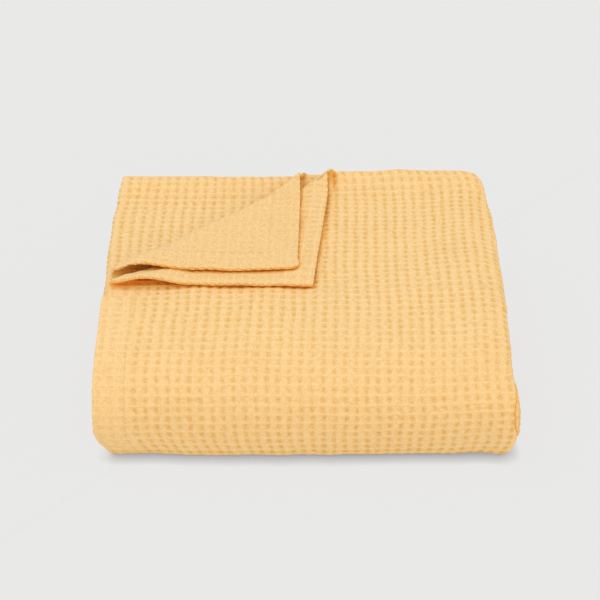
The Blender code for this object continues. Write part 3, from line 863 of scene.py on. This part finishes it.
# The stitching of the hems
from_side = math_node("MINIMUM", cut_u, math_node("SUBTRACT", CUT_WIDTH, cut_u))
from_end = math_node("MINIMUM", cut_v, math_node("SUBTRACT", CUT_LENGTH, cut_v))
inset = math_node("MINIMUM", from_side, from_end)
seam = narrow(inset, STITCH_FROM_EDGE, SEAM_HALF_WIDTH)
by_side = math_node("LESS_THAN", from_side, from_end)
travel = math_node(
    "ADD", math_node("MULTIPLY", by_side, cut_v),
    math_node("MULTIPLY", math_node("SUBTRACT", 1.0, by_side), cut_u))
stitch = math_node("FRACT", math_node("DIVIDE", travel, STITCH_LENGTH))
hole = math_node("MULTIPLY", narrow(stitch, 0.5, HOLE_HALF_LENGTH),
                 narrow(inset, STITCH_FROM_EDGE, HOLE_HALF_WIDTH))

# The yarn's colour, with painted shade in the pits, made uneven by the noises
depth = math_node("MULTIPLY", pit_shade_node.outputs["Fac"], PIT_SHADE_TINT)
for name, (_, _, strength) in NOISES.items():
    uneven = math_node("SUBTRACT", noises[name], 0.5)
    depth = math_node("ADD", depth, math_node("MULTIPLY", uneven, strength))
depth = math_node("ADD", depth, math_node("MULTIPLY", seam, SEAM_TINT))
cloth = tinted(limited(depth, *TINT_LIMITS), YARN_COLOUR, PIT_SHADE_COLOUR)
# Painted highlight along the thin raised yarns
cloth = tinted(math_node("MULTIPLY", line, LINE_HIGHLIGHT_TINT), cloth, LINE_HIGHLIGHT_COLOUR)
# Painted shade in the stitch holes
cloth = tinted(math_node("MULTIPLY", hole, HOLE_SHADE_TINT), cloth, HOLE_SHADE_COLOUR)

# Painted shade: between two layers the base colour is darkened and grows richer in colour, and
# deep inside it is painted brown, but not where the cloth meets the bright floor
crevice = nodes.new("ShaderNodeAmbientOcclusion")
crevice.samples = SHADE_SAMPLES
crevice.inputs["Distance"].default_value = SHADE_REACH
place = nodes.new("ShaderNodeTexCoord")
_, _, level = three_parts(place.outputs["Object"])
off_floor = math_node("SUBTRACT", level, FLOOR_SHADE_FROM)
off_floor = limited(math_node("DIVIDE", off_floor, FLOOR_SHADE_OVER), 0.0, 1.0)
closed = math_node("SUBTRACT", SHADE_STARTS, crevice.outputs["AO"])
closed = math_node("MULTIPLY", math_node("MAXIMUM", closed, 0.0), SHADE_STRENGTH)
reached = math_node("SUBTRACT", 1.0, math_node("MULTIPLY", closed, off_floor))
deep = math_node("MULTIPLY", crevice.outputs["AO"], DEEP_STEEPNESS)
deep = math_node("MAXIMUM", math_node("SUBTRACT", 1.0, deep), 0.0)
deep = math_node("MULTIPLY", deep, off_floor)
shade = nodes.new("ShaderNodeCombineColor")
shade.inputs["Red"].default_value = 1.0
for channel, power, loss in zip(("Green", "Blue"), SHADE_POWERS, DEEP_LOSS):
    kept = math_node("SUBTRACT", 1.0, math_node("MULTIPLY", deep, loss))
    passed = math_node("MULTIPLY", math_node("POWER", reached, power), kept)
    links.new(passed, shade.inputs[channel])
shaded = nodes.new("ShaderNodeMix")
shaded.data_type = "RGBA"
shaded.blend_type = "MULTIPLY"
shaded.inputs["Factor"].default_value = 1.0
links.new(cloth, shaded.inputs["A"])
links.new(shade.outputs["Color"], shaded.inputs["B"])
links.new(shaded.outputs["Result"], finish.inputs["Base Color"])

# The fine relief of yarns, fibres, bright yarns and stitching
along_yarns = math_node("SINE", math_node("MULTIPLY", weave_b, 2 * math.pi * YARNS_ALONG))
across_yarns = math_node("SINE", math_node("MULTIPLY", weave_a, 2 * math.pi * YARNS_ACROSS))
yarns = math_node("ADD", along_yarns, across_yarns)
relief = math_node("MULTIPLY", yarns, YARN_HEIGHT)
for raised, height in ((noises["specks"], SPECK_HEIGHT), (noises["grain"], GRAIN_HEIGHT),
                       (line, LINE_HEIGHT), (seam, -SEAM_SINK)):
    relief = math_node("ADD", relief, math_node("MULTIPLY", raised, height))
bump = nodes.new("ShaderNodeBump")
bump.inputs["Strength"].default_value = 1.0
bump.inputs["Distance"].default_value = 1.0
links.new(relief, bump.inputs["Height"])
links.new(bump.outputs["Normal"], finish.inputs["Normal"])

# Where the pieces of the panel meet, and its cut edges with the way inward from each
TOP_CELLS_ALONG = 24
TOP_END = TOP_CELLS_ALONG * CELL_ALONG
RIGHT_TURN_END = float(across_starts[2])
LOOSE_START = [(0.0, 1)]
LOOSE_SIDES = [(0.0, 1), (CUT_WIDTH, -1)]

top = cloth_piece(
    "blanket_top",
    weave_lines((0.0, RIGHT_TURN_END), CELL_ACROSS, [throughout(FINE_ACROSS)], LOOSE_START),
    weave_lines((0.0, TOP_END), CELL_ALONG, [throughout(FINE_ALONG)], LOOSE_START))


# ---- The cloth round the front ---------------------------------------------------------
# The same ply goes on round the front in one unbroken fold, down to the floor. Its left
# edge is a hem, and its right edge rolls round the side of the pack.

UNDER_FRONT = 0.012
FRONT_BOTTOM = float(along_starts[2]) + UNDER_FRONT
CREASED_FROM = 0.337
front = cloth_piece(
    "blanket_front",
    weave_lines(
        (0.0, RIGHT_TURN_END), CELL_ACROSS,
        [(0.0, CREASED_FROM, FINE_ACROSS, 1), (CREASED_FROM, RIGHT_TURN_END, CLOSE_ACROSS, 1)],
        LOOSE_START),
    weave_lines((TOP_END, FRONT_BOTTOM), CELL_ALONG, [throughout(FINE_ALONG)]))


# ---- The second ply, with the upper turned-back corner ---------------------------------
# The loose ply under the outer one. Its corner at the back left is turned over too, so the
# underside of that corner shows on top, with the hem's stitching along two edges.

SECOND_PLY_START = float(across_starts[5])
FOLD_SHOWS = 0.012
CORNER_ACROSS = 0.215
CORNER_ALONG = 0.200
INNER_FACE_RELIEF = 0.15
second_ply = cloth_piece(
    "blanket_second_ply",
    weave_lines(
        (SECOND_PLY_START, CUT_WIDTH), CELL_ACROSS,
        [(SECOND_PLY_START, SECOND_PLY_START + FOLD_SHOWS, FINE_ACROSS, 1),
         throughout(ONCE, 2), (CUT_WIDTH - CORNER_ACROSS, CUT_WIDTH, FINE_ACROSS, 1)],
        [(CUT_WIDTH, -1)]),
    weave_lines(
        (0.0, FRONT_BOTTOM), CELL_ALONG,
        [(0.0, CORNER_ALONG, FINE_ALONG, 1), throughout(ONCE)], LOOSE_START),
    face_relief=INNER_FACE_RELIEF)


# ---- The two inner plies of the first lap ----------------------------------------------
# The cloth comes round the right side, back to the left, and in again. The ply on top of
# these two shows at the back left, where the corners over it are turned away.

LEFT_FOLD_START, LEFT_FOLD_END = float(across_starts[3]), float(across_starts[4])
SHOWN_UNDER_FOLD = 0.010
SHOWN_PAST_FOLD = 0.200
inner_plies = cloth_piece(
    "blanket_inner_plies",
    weave_lines(
        (RIGHT_TURN_END, SECOND_PLY_START), CELL_ACROSS,
        [throughout(ONCE, 2), (LEFT_FOLD_START - SHOWN_UNDER_FOLD,
                               LEFT_FOLD_END + SHOWN_PAST_FOLD, FINE_ACROSS, 1)]),
    weave_lines(
        (0.0, FRONT_BOTTOM), CELL_ALONG,
        [(0.0, CORNER_ALONG, FINE_ALONG, 1), throughout(ONCE)], LOOSE_START))


# ---- The underside and the rest of the laps --------------------------------------------
# From the front the four plies run back along the floor, turn up at the back, and make two
# more laps inside the first. Their folds and hems show at the sides and at the back.

PAST_HEM = 0.004
PAST_TURN = 0.010
BEFORE_LEFT_FOLD = 0.008
PAST_LAST_TURN = 0.006
WHOLE_WIDTH = [
    throughout(ONCE, 2),
    (0.0, HEM_WIDTH + PAST_HEM, HALF, 1),
    (float(across_starts[1]) - PAST_TURN, RIGHT_TURN_END + PAST_TURN, PART_ACROSS, 1),
    (LEFT_FOLD_START - BEFORE_LEFT_FOLD, LEFT_FOLD_END + PAST_TURN, PART_ACROSS, 1),
    (SECOND_PLY_START - PAST_LAST_TURN, float(across_starts[6]) + PAST_LAST_TURN,
     FINE_ACROSS, 1),
    (CUT_WIDTH - HEM_WIDTH - PAST_HEM, CUT_WIDTH, HALF, 1),
]
FLOOR_END = run_place("low back fold", 1.0)
SECOND_END = run_place("high back fold", 1.0)

underside = cloth_piece(
    "blanket_underside",
    weave_lines((0.0, CUT_WIDTH), CELL_ACROSS,
                WHOLE_WIDTH + [(0.0, RIGHT_TURN_END, HALF, 1)], LOOSE_SIDES),
    weave_lines((FRONT_BOTTOM, FLOOR_END), CELL_ALONG, [throughout(HALF)]))

second_lap = cloth_piece(
    "blanket_second_lap",
    weave_lines((0.0, CUT_WIDTH), CELL_ACROSS, WHOLE_WIDTH, LOOSE_SIDES),
    weave_lines((FLOOR_END, SECOND_END), CELL_ALONG, [throughout(PART_ALONG)]))

third_lap = cloth_piece(
    "blanket_third_lap",
    weave_lines((0.0, CUT_WIDTH), CELL_ACROSS, WHOLE_WIDTH, LOOSE_SIDES),
    weave_lines((SECOND_END, CUT_LENGTH), CELL_ALONG, [throughout(PART_ALONG)],
                [(CUT_LENGTH, -1)]))


# ---- The floor -------------------------------------------------------------------------
# A pale shooting table under the pack, which isn't part of the object. It glows as if lit a
# little from below, as such tables are, so shadows on it stay faint; near the pack its glow is
# dimmed, a painted shadow.

TABLE_SIZE = 200.0
TABLE_COLOUR = (0.06, 0.06, 0.06, 1.0)
TABLE_GLOW = 0.752
TABLE_SHADE = 0.67
TABLE_SHADE_REACH = 0.012
TABLE_SHADE_SAMPLES = 8
bpy.ops.object.select_all(action="DESELECT")
bpy.ops.mesh.primitive_plane_add(size=TABLE_SIZE)
floor = bpy.context.object
floor.name = "floor"
table = bpy.data.materials.new("pale_table")
table.use_nodes = True
table_finish = table.node_tree.nodes["Principled BSDF"]
table_finish.inputs["Base Color"].default_value = TABLE_COLOUR
table_finish.inputs["Roughness"].default_value = 1.0
table_finish.inputs["Specular IOR Level"].default_value = 0.0
table_finish.inputs["Emission Color"].default_value = (1.0, 1.0, 1.0, 1.0)
near_pack = table.node_tree.nodes.new("ShaderNodeAmbientOcclusion")
near_pack.samples = TABLE_SHADE_SAMPLES
near_pack.inputs["Distance"].default_value = TABLE_SHADE_REACH
# Painted shadow: the table's glow is dimmed near the pack
glow = table.node_tree.nodes.new("ShaderNodeMath")
glow.operation = "MULTIPLY_ADD"
glow.inputs[1].default_value = TABLE_GLOW * TABLE_SHADE
glow.inputs[2].default_value = TABLE_GLOW * (1.0 - TABLE_SHADE)
table.node_tree.links.new(near_pack.outputs["AO"], glow.inputs[0])
table.node_tree.links.new(glow.outputs[0], table_finish.inputs["Emission Strength"])
floor.data.materials.append(table)


# ---- Light and camera ------------------------------------------------------------------
# A bright white tent all round, with a broad soft light from above and two warm fills from
# the front, and a long lens that looks down on the front of the pack.

TENT_LIGHT = 0.72
LIGHTS = {
    # strength, colour, spread in degrees, turn of the lamp
    "soft_key": (0.80, (1.0, 1.0, 1.0), 50, (-14, -20, 0)),
    "front_fill": (0.46, (1.0, 0.62, 0.00), 60, (58, 0, 28)),
    "low_fill": (0.52, (1.0, 0.53, 0.03), 60, (88, 0, 15)),
}
scene = bpy.context.scene
scene.view_settings.view_transform = "Standard"
world = bpy.data.worlds.new("tent")
world.use_nodes = True
world.node_tree.nodes["Background"].inputs["Color"].default_value = (1.0, 1.0, 1.0, 1.0)
world.node_tree.nodes["Background"].inputs["Strength"].default_value = TENT_LIGHT
scene.world = world

for lamp_name, (strength, colour, spread, turn) in LIGHTS.items():
    bpy.ops.object.light_add(type="SUN", rotation=[math.radians(angle) for angle in turn])
    lamp = bpy.context.object
    lamp.name = lamp_name
    lamp.data.energy = strength
    lamp.data.color = colour
    lamp.data.angle = math.radians(spread)

CAMERA_PLACE = (-0.0045, -1.078, 0.883)
CAMERA_PITCH = 37.5
LENS_PIXELS = 1500
FRAME_PIXELS = 600
SENSOR_WIDTH = 36.0
bpy.ops.object.camera_add(
    location=CAMERA_PLACE, rotation=(math.radians(90 - CAMERA_PITCH), 0.0, 0.0))
camera = bpy.context.object
camera.name = "camera"
camera.data.sensor_width = SENSOR_WIDTH
camera.data.lens = camera.data.sensor_width * LENS_PIXELS / FRAME_PIXELS
scene.camera = camera
